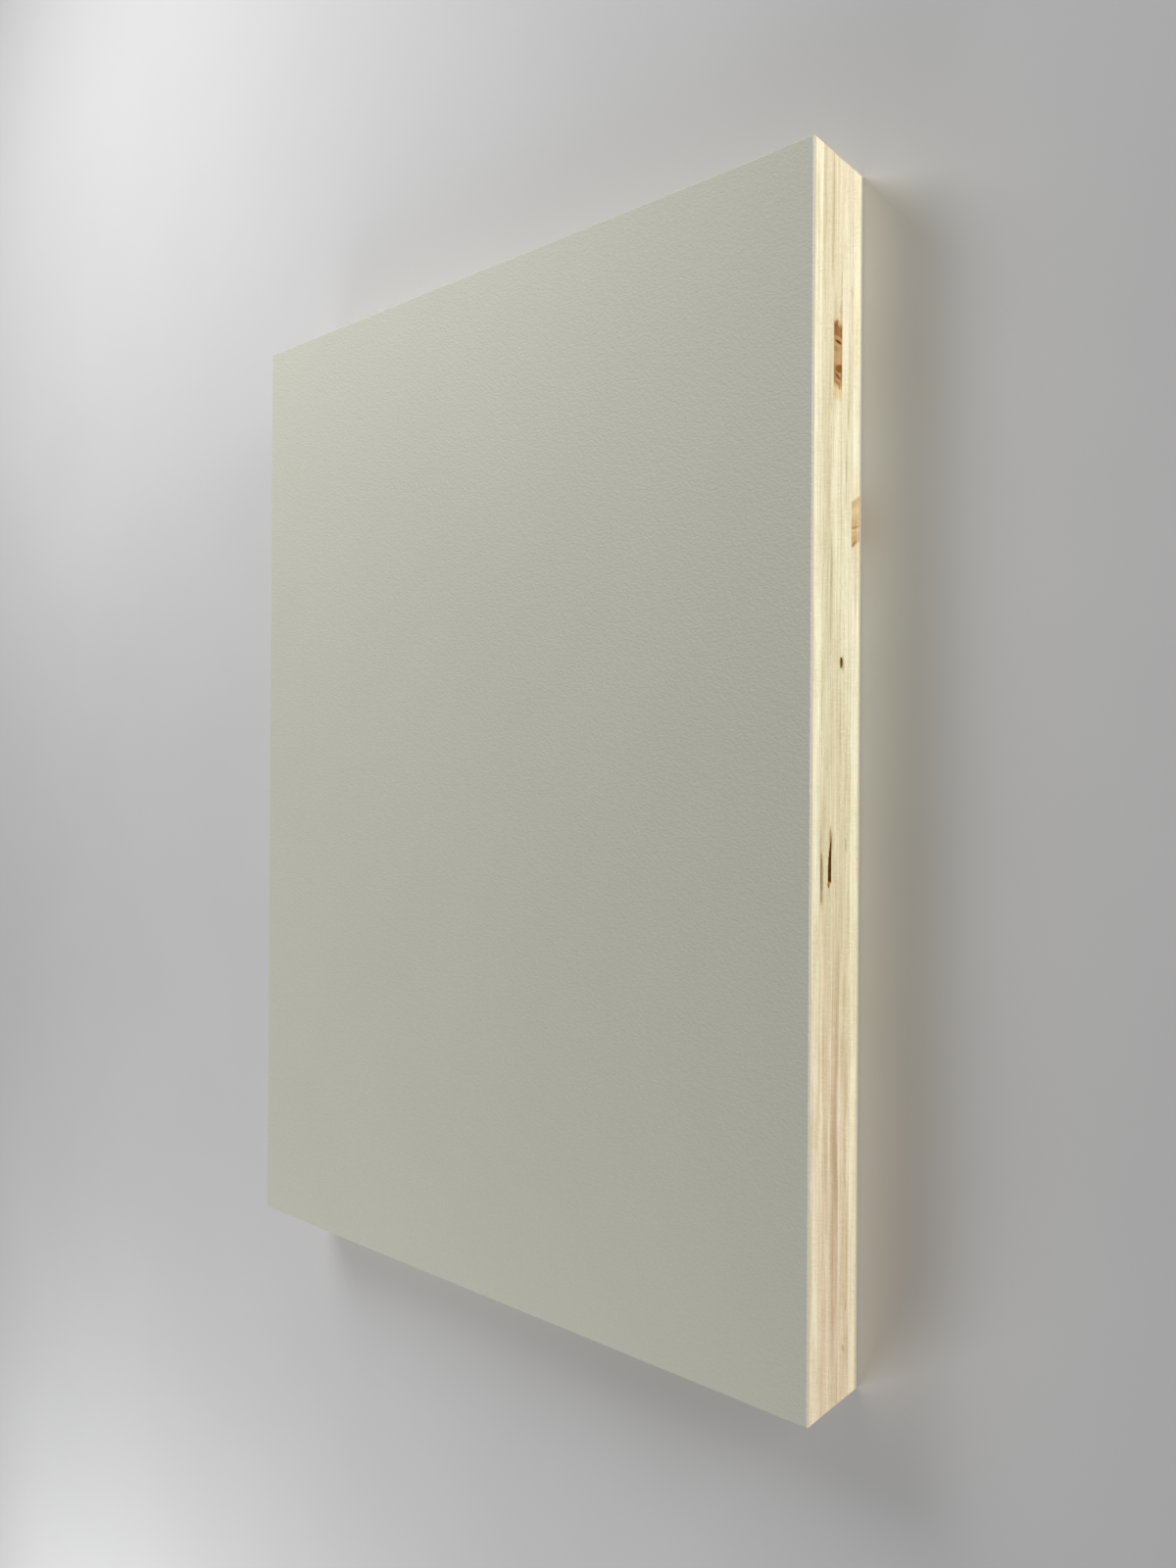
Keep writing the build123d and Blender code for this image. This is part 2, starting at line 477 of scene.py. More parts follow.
class LaminateFinish(bpy.types.PropertyGroup):
    """White plastic laminate pressed with a fine suede texture."""

    colour: bpy.props.FloatVectorProperty(
        name="Colour", description="Decorative face of the laminate",
        default=linear("DFDECF"), subtype="COLOR")
    edge: bpy.props.FloatVectorProperty(
        name="Edge", description="Sawn edge of the laminate",
        default=linear("C2BBA9"), subtype="COLOR")
    backing: bpy.props.FloatVectorProperty(
        name="Backing", description="Backing paper and glue that show on the sawn edge",
        default=linear("C2B29A"), subtype="COLOR")
    backing_thickness: bpy.props.FloatProperty(
        name="Backing thickness", description="Thickness of the backing and its glue line",
        default=0.3 * MM, unit="LENGTH", precision=6)
    pebble_width: bpy.props.FloatProperty(
        name="Pebble width", description="Size of the pressed pebbles across the sheet",
        default=0.65 * MM, unit="LENGTH", precision=6)
    pebble_length: bpy.props.FloatProperty(
        name="Pebble length", description="Size of the pressed pebbles along the sheet",
        default=0.5 * MM, unit="LENGTH", precision=6)
    pebble_depth: bpy.props.FloatProperty(
        name="Pebble depth", description="Depth of the pressed texture",
        default=0.085 * MM, unit="LENGTH", precision=6)
    arris: bpy.props.FloatProperty(
        name="Arris", description="Width of the eased edge of the laminate",
        default=0.2 * MM, unit="LENGTH", precision=6)
    chip: bpy.props.FloatProperty(
        name="Chipping", description="Depth of the fine chips that the saw left along the arris",
        default=0.08 * MM, unit="LENGTH", precision=6)


class StageSettings(bpy.types.PropertyGroup):
    """Floor, lamps and camera."""

    floor_colour: bpy.props.FloatVectorProperty(
        name="Floor", description="Plain pale floor",
        default=linear("E4E4E5"), subtype="COLOR")
    floor_size: bpy.props.FloatProperty(
        name="Floor size", description="Side of the floor", default=1.4, unit="LENGTH")
    sky: bpy.props.FloatProperty(
        name="Sky", description="Strength of the even light from all round", default=0.18)
    backdrop: bpy.props.FloatProperty(
        name="Backdrop", description="Brightness behind the floor, where 1 is white", default=0.44)
    lens: bpy.props.FloatProperty(
        name="Lens", description="Focal length on a sensor 36 mm long", default=26.62)
    camera_place: bpy.props.FloatVectorProperty(
        name="Camera", description="Place of the camera",
        default=(194.1 * MM, -1.5 * MM, 209.6 * MM), subtype="TRANSLATION")
    camera_aim: bpy.props.FloatVectorProperty(
        name="Aim", description="Point on the show face at the middle of the picture",
        default=(31.8 * MM, -0.8 * MM, 19.4 * MM), subtype="TRANSLATION")
    camera_roll: bpy.props.FloatProperty(
        name="Roll", description="Turn of the camera about its own axis",
        default=math.radians(0.34), unit="ROTATION")


def add(tree, kind, inputs=(), output=0, **settings):
    """Adds a shader node with its settings, sets or links its inputs, by name or in order, and gives one of
    its outputs."""
    made = tree.nodes.new("ShaderNode" + kind)
    for name, value in settings.items():
        setattr(made, name, value)
    for key, value in inputs.items() if isinstance(inputs, dict) else enumerate(inputs):
        if isinstance(value, bpy.types.NodeSocket):
            tree.links.new(value, made.inputs[key])
        else:
            made.inputs[key].default_value = value
    return made.outputs[output] if made.outputs else None


def new_material(name):
    """A material with an empty node tree."""
    material = bpy.data.materials.new(name)
    material.use_nodes = True
    material.node_tree.nodes.clear()
    return material, material.node_tree


def pattern(tree, place, size, detail=2.0, turn=(0.0, 0.0, 0.0)):
    """Uneven shares of 0 to 1, in features of this size along X, Y and Z, in millimetres, once turned."""
    inputs = {"Vector": place, "Rotation": turn, "Scale": tuple(s * MM for s in size)}
    stretched = add(tree, "Mapping", inputs, vector_type="TEXTURE")
    return add(tree, "TexNoise", {"Vector": stretched, "Scale": 1.0, "Detail": detail})


def lay(tree, colour, tint, share, low=0.0, high=1.0, most=1.0, blend="MIX"):
    """Lays a tint over a colour: none where share is at low, and as much as most where it is at high."""
    cover = add(tree, "MapRange", [share, low, high, 0.0, most], **SMOOTH)
    inputs = {MIX_SHARE: cover, MIX_FROM: colour, MIX_TO: opaque(tint)}
    return add(tree, "Mix", inputs, MIX_COLOUR, data_type="RGBA", blend_type=blend)


def finish_surface(tree, colour, roughness, height, depth, specular):
    """The shader, with a bump of this depth from height, and the output."""
    bump = add(tree, "Bump", {"Height": height, "Distance": depth, "Strength": 1.0})
    inputs = {"Base Color": colour, "Roughness": roughness, "Normal": bump, "Specular IOR Level": specular}
    add(tree, "OutputMaterial", {"Surface": add(tree, "BsdfPrincipled", inputs)})


def lay_mark(tree, colour, mark, tint, place, waver, breaks):
    """Lays a mark over the wood, with a wavering border. The grain breaks up a hairline."""
    middle = (SHEET_HIGH.x, SHEET_HIGH.y - mark.down * MM, SHEET_HIGH.z - mark.deep * MM)
    inward = max(mark.half_length, mark.half_height) * MM
    inputs = {
        "Vector": place, "Location": middle, "Rotation": (math.radians(mark.tilt), 0, 0),
        "Scale": (inward, mark.half_length * MM, mark.half_height * MM),
    }
    local = add(tree, "Mapping", inputs, vector_type="TEXTURE")
    away = add(tree, "VectorMath", [local], "Value", operation="LENGTH")
    uneven = add(tree, "Math", [waver, mark.soft, away], operation="MULTIPLY_ADD")
    most = mark.strength
    if mark.half_height <= HAIRLINE and mark.half_length > mark.half_height:
        most = add(tree, "Math", [breaks, mark.strength], operation="MULTIPLY")
    return lay(tree, colour, tint, uneven, 1.0 + mark.soft / 2, 1.0 - mark.soft / 2, most)


def saw_fan(sizes):
    """How much the lean of the saw marks changes in each metre along an edge."""
    return math.tan(sizes.saw_lean) / (LENGTH / 2)


def saw_lines(tree, x, y, z, sizes):
    """Fine lines across the sawn edges, which lean one way at the far end and the other at the near one."""
    fan = saw_fan(sizes)
    # On each edge x or y stays the same, so their sum runs along it.
    along = add(tree, "Math", [x, y], operation="ADD")
    from_edge = add(tree, "Math", [along, SHEET_HIGH.x], operation="SUBTRACT")
    lean = add(tree, "Math", [z, fan, 1.0 - fan * THICKNESS / 2], operation="MULTIPLY_ADD")
    fanned = add(tree, "Math", [from_edge, lean], operation="MULTIPLY")
    place = add(tree, "CombineXYZ", {"X": fanned, "Z": z})
    return pattern(tree, place, (sizes.saw_pitch / MM, 1.0, SAW_LINE_HEIGHT))


def veneer_material(ply, colours, sizes):
    """Sawn hardwood veneer. Peeling lays its yearly layers flat in the sheet, so each edge shows fine lines
    along it, over fibres that are long streaks on one pair of edges and a darker speckle of cut ends on the
    other."""
    material, tree = new_material(f"sawn_veneer_{ply.node}")
    low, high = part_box(ply.node)
    here = add(tree, "TexCoord", output="Object")
    x, y, z = add(tree, "SeparateXYZ", [here]).node.outputs
    wave = pattern(tree, here, WAVE_SIZE)
    rise = add(tree, "MapRange", [wave, 0.0, 1.0, -LAYER_WANDER, LAYER_WANDER])
    lift = add(tree, "CombineXYZ", {"Z": rise})
    wandering = add(tree, "VectorMath", [here, lift], operation="ADD")
    turn = (0, 0, math.radians(90) if ply.across else 0)
    layers = pattern(tree, wandering, LAYER_SIZE, 3.0, turn)
    lines = pattern(tree, wandering, LINE_SIZE, 2.0, turn)
    fibres = pattern(tree, here, FIBRE_SIZE, 2.0, turn)
    pores = pattern(tree, here, PORE_SIZE, 1.0, turn)
    flecks = pattern(tree, here, FLECK_SIZE)
    clouds = pattern(tree, here, CLOUD_SIZE)
    saw = saw_lines(tree, x, y, z, sizes)

    knot_border = pattern(tree, here, KNOT_BORDER_SIZE)
    knot_waver = add(tree, "Math", [knot_border, PATTERN_MIDDLE], operation="SUBTRACT")
    streak_border = pattern(tree, wandering, STREAK_BORDER_SIZE, 3.0)
    streak_waver = add(tree, "Math", [streak_border, PATTERN_MIDDLE], operation="SUBTRACT")
    stretches = pattern(tree, here, HAIRLINE_STRETCH_SIZE)
    breaks = add(tree, "MapRange", [stretches, 0.38, 0.56], **SMOOTH)

    def lay_marks(colour, marks):
        """Lays marks over the wood, one after the other."""
        for mark in marks:
            waver = streak_waver if mark.half_length > STREAK_SHARE * mark.half_height else knot_waver
            colour = lay_mark(tree, colour, mark, getattr(colours, mark.colour), wandering, waver, breaks)
        return colour

    # The sound wood, with its knots and streaks, under the tints that run through all the veneers, which are
    # partly a painted tint of the light
    ends = add(tree, "Attribute", output="Fac", attribute_name=CUT_ENDS)
    colour = lay(tree, opaque(getattr(colours, ply.colour)), colours.end_grain, ends, blend="MULTIPLY")
    colour = lay_marks(colour, (*SHEET_TONES_AND_LIGHT_TINTS, *ply.marks))
    colour = lay(tree, colour, colours.pale, clouds, low=0.45, high=0.25, most=0.35)
    colour = lay(tree, colour, colours.pale, flecks, low=0.6, high=0.8, most=0.4)

    # The torn wood in the voids, darkened with depth by painted shade over its own brown, and the stains
    # round them
    hollow = add(tree, "Attribute", output="Fac", attribute_name=HOLLOW)
    torn = add(tree, "MapRange", [pattern(tree, here, TORN_WOOD_SIZE), 0.35, 0.6, 0.4, 1.0], **SMOOTH)
    colour = lay(tree, colour, colours.recess, hollow, high=0.01)
    colour = lay(tree, colour, colours.hollow, hollow, low=0.1, high=0.7, most=torn)
    colour = lay_marks(colour, ply.stains)

    # The grain, the glue lines and the saw marks, each with the shares at which its tint starts and is full,
    # and how much of it is laid there
    middle, half = (low.z + high.z) / 2, (high.z - low.z) / 2
    offset = add(tree, "Math", [z, middle], operation="SUBTRACT")
    from_middle = add(tree, "Math", [offset], operation="ABSOLUTE")
    glue_patches = pattern(tree, here, GLUE_PATCH_SIZE, 3.0)
    glued = add(tree, "MapRange", [glue_patches, 0.35, 0.65, 0.15, 0.85], **SMOOTH)
    saw_patches = pattern(tree, here, SAW_PATCH_SIZE)
    worn = add(tree, "MapRange", [saw_patches, 0.35, 0.65, 0.0, 0.24], **SMOOTH)
    grain = (
        (layers, 0.4, 0.7, 0.4),
        (lines, 0.45, 0.75, 0.24),
        (clouds, 0.4, 0.75, 0.4),
        (fibres, 0.5, 0.8, 0.5 if ply.across else 0.3),
        (flecks, 0.42, 0.22, 0.5),
        (from_middle, half - GLUE_LINE, half, glued),
        (saw, 0.7, 0.35, worn),
    )
    for share, start, full, most in grain:
        colour = lay(tree, colour, colours.grain, share, start, full, most, "MULTIPLY")
    colour = lay(tree, colour, colours.pore, pores, low=0.64, high=0.8, most=0.35, blend="MULTIPLY")

    rough = add(tree, "MapRange", [fibres, *PATTERN_SPAN, *WOOD_ROUGHNESS])
    height = add(tree, "Math", [fibres, FIBRE_SHARE, saw], operation="MULTIPLY_ADD")
    finish_surface(tree, colour, rough, height, sizes.saw_depth, specular=0.12)
    return material


def glue_material(colours):
    """Dried resin glue on the flat of a veneer, seen only inside the voids: brown and blotched, with a dull
    skin."""
    material, tree = new_material("dried_glue_film")
    here = add(tree, "TexCoord", output="Object")
    blotches = pattern(tree, here, GLUE_BLOTCH_SIZE, 3.0)
    colour = lay(tree, opaque(colours.glue), colours.hollow, blotches, low=0.35, high=0.65, most=0.65)
    rough = add(tree, "MapRange", [blotches, *PATTERN_SPAN, *GLUE_ROUGHNESS])
    finish_surface(tree, colour, rough, blotches, GLUE_RIPPLE, specular=0.4)
    return material


def laminate_material(node, finish):
    """Melamine laminate, pressed against a suede plate: a soft sheen over fine flat pebbles that lie across
    the sheet. Its sawn edge is a dull white outside and shows a line of brownish backing paper inside."""
    material, tree = new_material(f"suede_laminate_{node}")
    low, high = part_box(node)
    least, most = PATTERN_SPAN
    here = add(tree, "TexCoord", output="Object")
    pebbles = pattern(tree, here, (finish.pebble_width / MM, finish.pebble_length / MM, 1), 1.5)
    clouds = pattern(tree, here, LAMINATE_CLOUD_SIZE)
    chips = pattern(tree, here, BACKING_CHIP_SIZE)
    shade = shaded(finish.colour, 0.94)
    # The hollows of the pressed pebbles are laid darker: painted shade over the bump that also shades them
    colour = lay(tree, opaque(finish.colour), shade, pebbles, low=most, high=least, most=0.45)
    colour = lay(tree, colour, shade, clouds, low=least, high=most, most=0.3)
    z = add(tree, "SeparateXYZ", [here], "Z")
    inner, outer = (high.z, low.z) if low.z < THICKNESS / 2 else (low.z, high.z)
    inwards = math.copysign(1.0, inner - outer)
    skin, arris = outer + inwards * DECOR_SKIN, outer + inwards * finish.arris
    colour = lay(tree, colour, finish.edge, z, low=skin, high=arris)
    line = inner - inwards * finish.backing_thickness
    broken = add(tree, "MapRange", [chips, 0.3, 0.6, 0.6, 1.0], **SMOOTH)
    colour = lay(tree, colour, finish.backing, z, low=line, high=(line + inner) / 2, most=broken)
    rough = add(tree, "MapRange", [pebbles, *PATTERN_SPAN, *LAMINATE_ROUGHNESS])
    finish_surface(tree, colour, rough, pebbles, finish.pebble_depth, specular=0.4)
    return material


def floor_material(colour):
    """Matt painted board: one even pale tone."""
    material, tree = new_material("matt_floor")
    here = add(tree, "TexCoord", output="Object")
    mottle = pattern(tree, here, FLOOR_MOTTLE_SIZE)
    least, most = PATTERN_SPAN
    tone = lay(tree, opaque(colour), shaded(colour, 0.98), mottle, low=least, high=most)
    finish_surface(tree, tone, FLOOR_ROUGHNESS, mottle, FLOOR_RIPPLE, specular=0.2)
    return material


def divide(bm, lies_so, cell):
    """Cuts the edges that lie so, by their direction and their middle, into cells of about this length."""
    edges = []
    for edge in bm.edges:
        start, end = (v.co for v in edge.verts)
        if lies_so((end - start).normalized(), (start + end) / 2):
            edges.append(edge)
    cuts = round(edges[0].calc_length() / cell) - 1
    bmesh.ops.subdivide_edges(bm, edges=edges, cuts=max(cuts, 1))


def walled_sheet(low, high, sizes, row):
    """The four walls of a sheet as a fine net, open above and below."""
    bm = bmesh.new()
    bmesh.ops.create_cube(bm, size=1.0)
    bmesh.ops.scale(bm, vec=high - low, verts=bm.verts)
    bmesh.ops.translate(bm, vec=(low + high) / 2, verts=bm.verts)
    flats = [f for f in bm.faces if abs(f.normal.z) > MOSTLY]
    bmesh.ops.delete(bm, geom=flats, context="FACES_ONLY")
    divide(bm, lambda run, at: abs(run.x) > MOSTLY, sizes.coarse_cell)
    divide(bm, lambda run, at: abs(run.y) > MOSTLY and at.x < 0, sizes.coarse_cell)
    divide(bm, lambda run, at: abs(run.y) > MOSTLY and at.x > 0, sizes.fine_cell)
    divide(bm, lambda run, at: abs(run.z) > MOSTLY, row)
    return bm


def map_walls(bm, low, high, rows, top):
    """Lays the walls, one long band round the sheet, in rows on the map below the height top."""
    layer = bm.loops.layers.uv.new(MAP_NAME)
    width, length, thickness = high - low
    starts = {(0, 1): width, (1, 1): width + length, (0, -1): 2 * width + length, (1, -1): 0.0}
    row_length = 2 * (width + length) / rows
    row_height = top / rows
    side_pad, row_pad = 0.01, 0.08
    for face in bm.faces:
        middle = face.calc_center_median()
        axis = 0 if abs(face.normal.x) > MOSTLY else 1
        sign = 1 if middle[axis] > 0 else -1
        forward = sign if axis == 0 else -sign
        begin = low if forward > 0 else high
        start, other = starts[(axis, sign)], 1 - axis
        row = min(int((start + forward * (middle[other] - begin[other])) / row_length), rows - 1)
        for loop in face.loops:
            run = start + forward * (loop.vert.co[other] - begin[other]) - row * row_length
            up = (loop.vert.co.z - low.z) / thickness
            loop[layer].uv = (
                side_pad + (1 - 2 * side_pad) * run / row_length,
                (row + row_pad + (1 - 2 * row_pad) * up) * row_height)


def map_flat(bm, face, low, high, bottom, top):
    """Lays a flat of the sheet on the map between two heights, its length across the map."""
    layer = bm.loops.layers.uv[MAP_NAME]
    pad = 0.01
    for loop in face.loops:
        along = (loop.vert.co.y - low.y) / (high.y - low.y)
        across = (loop.vert.co.x - low.x) / (high.x - low.x)
        up = bottom + (top - bottom) * (pad + (1 - 2 * pad) * across)
        loop[layer].uv = (pad + (1 - 2 * pad) * along, up)


def close_flats(bm, slot=0):
    """Fills the open top and bottom of a walled sheet, gives them a material slot and returns them, lowest
    first."""
    rims = [e for e in bm.edges if e.is_boundary]
    filled = bmesh.ops.holes_fill(bm, edges=rims, sides=0)["faces"]
    for face in filled:
        face.material_index = slot
    bmesh.ops.recalc_face_normals(bm, faces=bm.faces)
    return sorted(filled, key=lambda f: f.calc_center_median().z)


def new_piece(bm, name, node, materials):
    """Makes a finished piece in place of a solid, riding on the sheet's body."""
    mesh = bpy.data.meshes.new(name)
    bm.to_mesh(mesh)
    bm.free()
    mesh.set_sharp_from_angle(angle=SHARP_ANGLE)
    for polygon in mesh.polygons:
        polygon.use_smooth = polygon.loop_total <= WALL_CORNERS
    for material in materials:
        mesh.materials.append(material)
    piece = bpy.data.objects.new(name, mesh)
    bpy.context.scene.collection.objects.link(piece)
    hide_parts(node)
    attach(piece, BODY)


def swing(first, second, third):
    """A smooth uneven swing between -1 and 1, over features about 1 wide, the same each run."""
    return noise.noise(Vector((first, second, third)))


def between(low, high, swung):
    """What lies between low and high as a swing goes from -1 to 1."""
    return (low + high) / 2 + swung * (high - low) / 2


def wall_points(bm, high):
    """Gives each point of the walls, the axis that its wall faces and its place along the wall. A corner
    comes twice, once for each of its walls."""
    for vert in bm.verts:
        x, y = vert.co.xy
        for axis, along in ((0, y), (1, x)):
            if abs(vert.co[axis]) >= high[axis] - TOUCH:
                yield vert, axis, along


def end_cut(x, z, sizes):
    """How far back the saw cut the far end: fully but for a tooth at the corner of the show face."""
    tooth = x > SHEET_HIGH.x - sizes.tooth_width and z >= TOOTH_FOOT
    return 0.0 if tooth else sizes.tooth_step


def chatter(along, z, sizes):
    """Depth of the broad waves of the saw, which wander a little in their spacing and fade in patches."""
    wander_length, wander_height, most_wander = 6 * MM, 3 * MM, 2.5
    patch_length, patch_height, patch_seed = 15 * MM, 8 * MM, 7.0
    leaning = along * (1.0 + saw_fan(sizes) * (z - THICKNESS / 2))
    wander = most_wander * swing(along / wander_length, z / wander_height, 0.0)
    wave = math.sin(2 * math.pi * leaning / sizes.chatter_pitch + wander)
    strength = between(0.2, 1.0, swing(along / patch_length, patch_seed, z / patch_height))
    return sizes.chatter_depth * strength * between(0.0, 1.0, wave)


def fibre_relief(along, z, end_grain, seed, sizes):
    """Depth of the fibres on a sawn wall: long ridges beside the grain, small pits across it."""
    if end_grain:
        pit_length, pit_height = 0.6 * MM, 0.5 * MM
        return sizes.fibre_depth * max(swing(along / pit_length, z / pit_height, seed), 0.0)
    ridge_length, ridge_height = 9 * MM, 0.4 * MM
    return sizes.fibre_depth * between(0.0, 1.0, swing(along / ridge_length, z / ridge_height, seed))


def void_depth(solid, low, high, along, z):
    """How deep the solid is hollow behind a point of the edge with the voids, whose borders are ragged."""
    clear, rag, rag_size, rag_seed = 1 * MM, 0.1 * MM, 0.6 * MM, 9.0
    probe_y = along + rag * swing(0.0, along / rag_size, z / rag_size)
    probe_z = z + rag * swing(rag_seed, along / rag_size, z / rag_size)
    probe_z = min(max(probe_z, low.z + TOUCH), high.z - TOUCH)
    start = Vector((high.x + clear, probe_y, probe_z))
    hit = solid.ray_cast(start, Vector((-1.0, 0.0, 0.0)))
    return max(hit[3] - clear, 0.0) if hit[0] else 0.0


def shape_veneer(bm, ply, sizes):
    """Gives the walls their relief and opens the voids of the solid in them."""
    solid = BVHTree.FromObject(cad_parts[ply.node], bpy.context.evaluated_depsgraph_get())
    low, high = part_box(ply.node)
    hollow = bm.verts.layers.float.new(HOLLOW)
    cut_ends = bm.verts.layers.float.new(CUT_ENDS)
    step_length, painted_shade_full_at = 25 * MM, 4 * MM
    for vert, axis, along in wall_points(bm, high):
        at, z = vert.co[axis], vert.co.z
        # Each wall has ridges of its own, and so has each height on it.
        seed = 10.0 * axis + math.copysign(3.0, at) + 20.0 * z / THICKNESS
        end_grain = ply.across == (axis == 0)
        vert[cut_ends] = float(end_grain)
        deep = chatter(along, z, sizes) + fibre_relief(along, z, end_grain, seed, sizes)
        deep += ply.step * MM * between(0.4, 1.0, swing(along / step_length, seed, 0.0))
        if axis == 1 and at > 0:
            deep += end_cut(along, z, sizes)
        if axis == 0 and at > 0:
            pocket = void_depth(solid, low, high, along, z)
            # How deep the point lies sets how far the painted shade in the void has darkened
            vert[hollow] = min(pocket / painted_shade_full_at, 1.0)
            deep += pocket
        vert.co[axis] = at - math.copysign(deep, at)


def shape_laminate(bm, node, finish, sizes):
    """Eases the outer arris of a laminate and chips it finely."""
    low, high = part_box(node)
    outer = low.z if low.z < THICKNESS / 2 else high.z
    chip_length, chip_from, chip_foot_share, chatter_share = 0.7 * MM, 0.25, 0.3, 0.5
    for vert, axis, along in wall_points(bm, high):
        at, z = vert.co[axis], vert.co.z
        near = max(1.0 - abs(z - outer) / finish.arris, 0.0)
        eased = finish.arris * (1.0 - math.sqrt(max(1.0 - near * near, 0.0)))
        chips = swing(along / chip_length, 5.0 * axis + at / LENGTH, outer / THICKNESS)
        deep = eased + finish.chip * max(chips - chip_from, 0.0) * (chip_foot_share + near)
        deep += chatter(along, z, sizes) * chatter_share
        if axis == 1 and at > 0:
            deep += end_cut(along, z, sizes)
        vert.co[axis] = at - math.copysign(deep, at)


class PLYWOOD_OT_veneers(bpy.types.Operator):
    """Build the five sawn veneers with their voids, knots and saw marks"""

    bl_idname = "plywood.veneers"
    bl_label = "Veneers"

    def execute(self, context):
        sizes, colours = context.scene.plywood_edge, context.scene.plywood_veneer
        glue, glue_slot = glue_material(colours), 1
        map_rows, walls_top = 14, 0.96
        for ply in PLIES:
            low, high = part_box(ply.node)
            bm = walled_sheet(low, high, sizes, sizes.row)
            map_walls(bm, low, high, map_rows, walls_top)
            shape_veneer(bm, ply, sizes)
            for flat in close_flats(bm, glue_slot):
                map_flat(bm, flat, low, high, walls_top, 1.0)
            new_piece(bm, ply.piece, ply.node, (veneer_material(ply, colours, sizes), glue))
        return {"FINISHED"}


class PLYWOOD_OT_laminates(bpy.types.Operator):
    """Build the two laminates with their eased arrises"""

    bl_idname = "plywood.laminates"
    bl_label = "Laminates"

    def execute(self, context):
        sizes, finish = context.scene.plywood_edge, context.scene.plywood_laminate
        rows_in_thickness, map_rows, walls_top, hidden_top = 7, 6, 0.12, 0.16
        for node in ("face_laminate", "back_laminate"):
            low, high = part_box(node)
            bm = walled_sheet(low, high, sizes, (high.z - low.z) / rows_in_thickness)
            map_walls(bm, low, high, map_rows, walls_top)
            shape_laminate(bm, node, finish, sizes)
            lower, upper = close_flats(bm)
            shown, hidden = (upper, lower) if node == "face_laminate" else (lower, upper)
            map_flat(bm, hidden, low, high, walls_top, hidden_top)
            map_flat(bm, shown, low, high, hidden_top, 1.0)
            new_piece(bm, f"{node}_sheet", node, (laminate_material(node, finish),))
        return {"FINISHED"}


def add_floor(settings):
    """A plain square floor under the sheet."""
    bm = bmesh.new()
    bmesh.ops.create_grid(bm, x_segments=1, y_segments=1, size=settings.floor_size / 2)
    mesh = bpy.data.meshes.new("floor")
    bm.to_mesh(mesh)
    bm.free()
    mesh.materials.append(floor_material(settings.floor_colour))
    floor = bpy.data.objects.new("floor", mesh)
    bpy.context.scene.collection.objects.link(floor)


def add_even_light(settings):
    """Even light from all round, with a backdrop in its place for the camera and for reflections."""
    world = bpy.data.worlds.new("even_light")
    world.use_nodes = True
    tree = world.node_tree
    tree.nodes.clear()
    rays = add(tree, "LightPath").node.outputs
    seen = add(tree, "Math", [rays["Is Camera Ray"], rays["Is Glossy Ray"]], operation="MAXIMUM")
    seen = add(tree, "Math", [seen, rays["Is Transmission Ray"]], operation="MAXIMUM")
    strength = add(tree, "MapRange", [seen, 0.0, 1.0, settings.sky, settings.backdrop])
    light = add(tree, "Background", {"Color": opaque(linear("FFFFFF")), "Strength": strength})
    add(tree, "OutputWorld", {"Surface": light})
    bpy.context.scene.world = world


def add_lamp(lamp):
    """A soft lamp that the camera doesn't see."""
    light = bpy.data.lights.new(lamp.name, "AREA")
    light.shape = "RECTANGLE"
    light.size, light.size_y = (s * MM for s in lamp.size)
    place, aim = Vector(lamp.place) * MM, Vector(lamp.aim) * MM
    way = aim - place
    # At this power a matt surface that faces the lamp at its aim shows its colour times the level.
    light.energy = lamp.level * math.pi ** 2 * way.length_squared
    holder = bpy.data.objects.new(lamp.name, light)
    holder.location = place
    holder.rotation_euler = way.to_track_quat("-Z", "Y").to_euler()
    holder.visible_camera = False
    bpy.context.scene.collection.objects.link(holder)


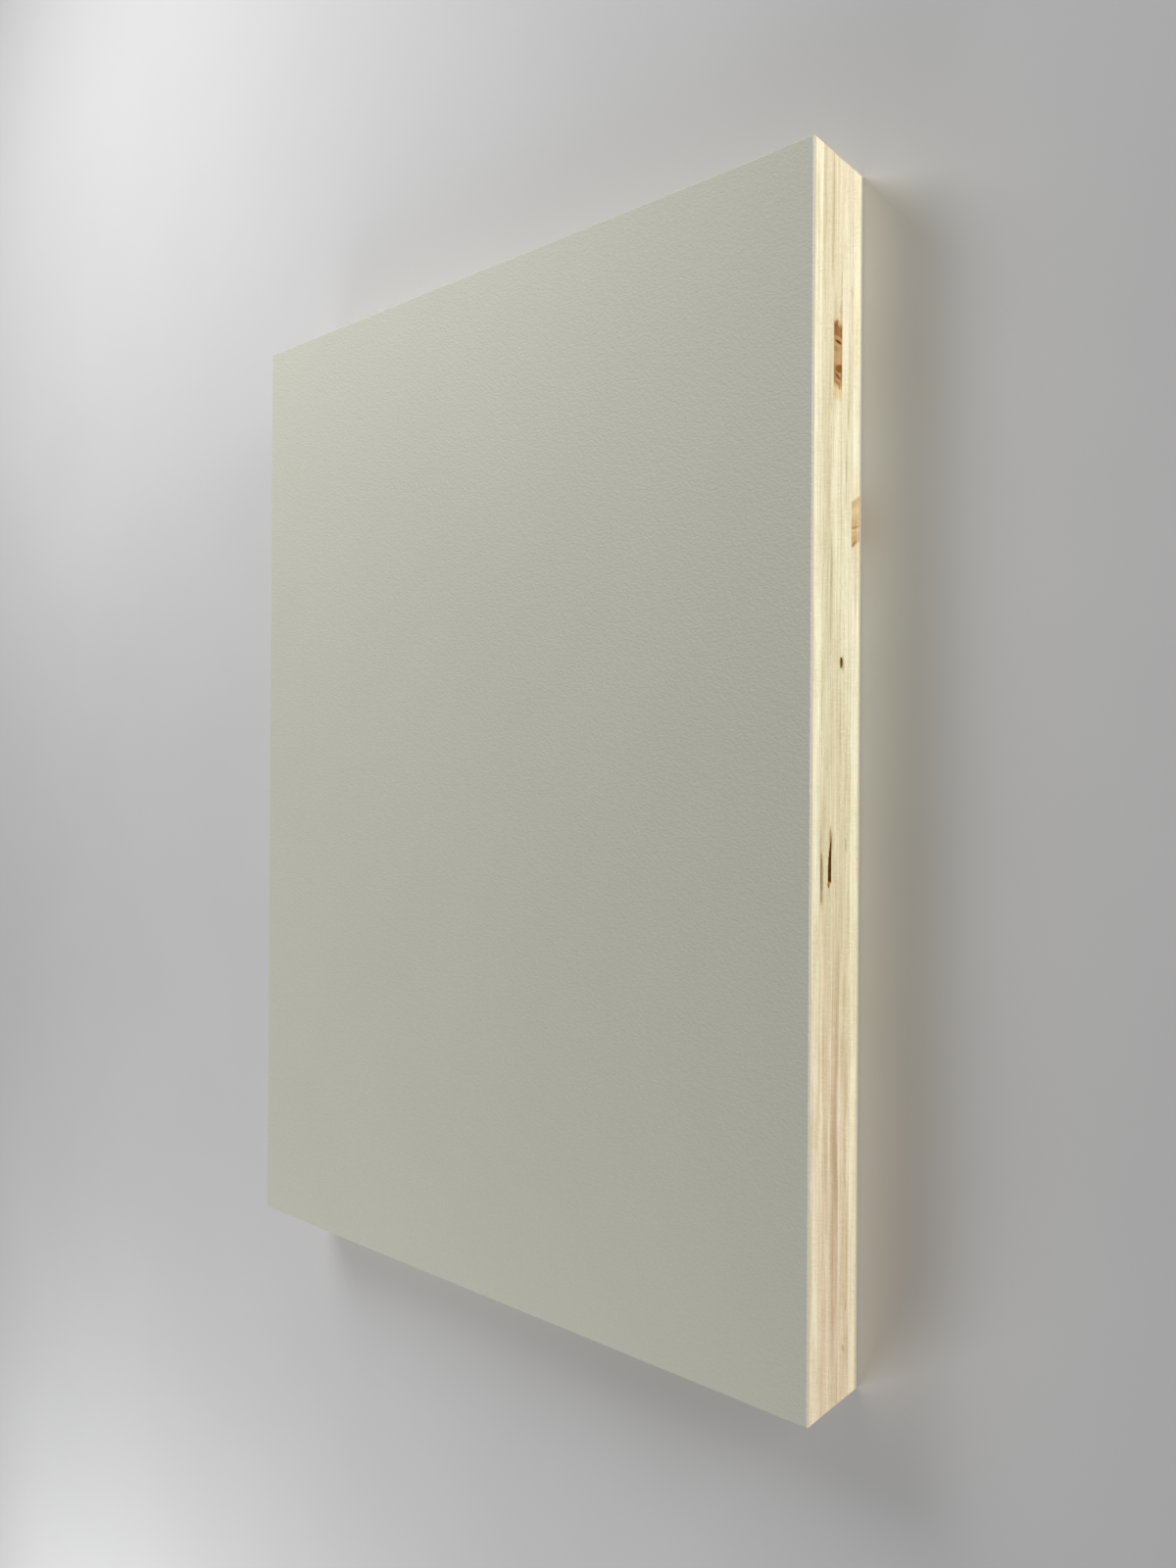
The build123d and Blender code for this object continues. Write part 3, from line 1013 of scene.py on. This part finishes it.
def add_camera(settings):
    """The camera looks down on the sheet, whose length runs up the picture."""
    camera = bpy.data.cameras.new("camera")
    camera.lens = settings.lens
    camera.sensor_width = SENSOR
    camera.clip_start = NEAREST_VIEW
    place, aim = Vector(settings.camera_place), Vector(settings.camera_aim)
    back = (place - aim).normalized()
    right = Vector((0.0, 1.0, 0.0)).cross(back).normalized()
    turn = Matrix((right, back.cross(right), back)).transposed()
    turn = turn @ Matrix.Rotation(settings.camera_roll, 3, "Z")
    holder = bpy.data.objects.new("camera", camera)
    holder.location = place
    holder.rotation_euler = turn.to_euler()
    bpy.context.scene.collection.objects.link(holder)
    bpy.context.scene.camera = holder


class PLYWOOD_OT_stage(bpy.types.Operator):
    """Build the floor, the lamps and the camera"""

    bl_idname = "plywood.stage"
    bl_label = "Stage"

    def execute(self, context):
        settings = context.scene.plywood_stage
        add_floor(settings)
        add_even_light(settings)
        for lamp in LAMPS:
            add_lamp(lamp)
        add_camera(settings)
        context.scene.view_settings.view_transform = "Standard"
        return {"FINISHED"}


class PLYWOOD_PT_sheet(bpy.types.Panel):
    """Steps and settings of the plywood sheet"""

    bl_label = "Laminated plywood sheet"
    bl_idname = "PLYWOOD_PT_sheet"
    bl_space_type = "VIEW_3D"
    bl_region_type = "UI"
    bl_category = "Plywood"

    def draw(self, context):
        for operator in OPERATORS:
            self.layout.operator(operator.bl_idname)
        for name, group in GROUPS.items():
            box = self.layout.box()
            box.label(text=group.__doc__)
            for setting in group.__annotations__:
                box.prop(getattr(context.scene, name), setting)


GROUPS = {
    "plywood_edge": SawnEdgeSizes,
    "plywood_veneer": VeneerColours,
    "plywood_laminate": LaminateFinish,
    "plywood_stage": StageSettings,
}
OPERATORS = (PLYWOOD_OT_veneers, PLYWOOD_OT_laminates, PLYWOOD_OT_stage)


def register():
    for name, group in GROUPS.items():
        bpy.utils.register_class(group)
        setattr(bpy.types.Scene, name, bpy.props.PointerProperty(type=group))
    for kind in (*OPERATORS, PLYWOOD_PT_sheet):
        bpy.utils.register_class(kind)


def unregister():
    for kind in (PLYWOOD_PT_sheet, *reversed(OPERATORS)):
        bpy.utils.unregister_class(kind)
    for name, group in reversed(GROUPS.items()):
        delattr(bpy.types.Scene, name)
        bpy.utils.unregister_class(group)


def main():
    register()
    bpy.ops.plywood.veneers()
    bpy.ops.plywood.laminates()
    bpy.ops.plywood.stage()


if __name__ == "__main__":
    main()
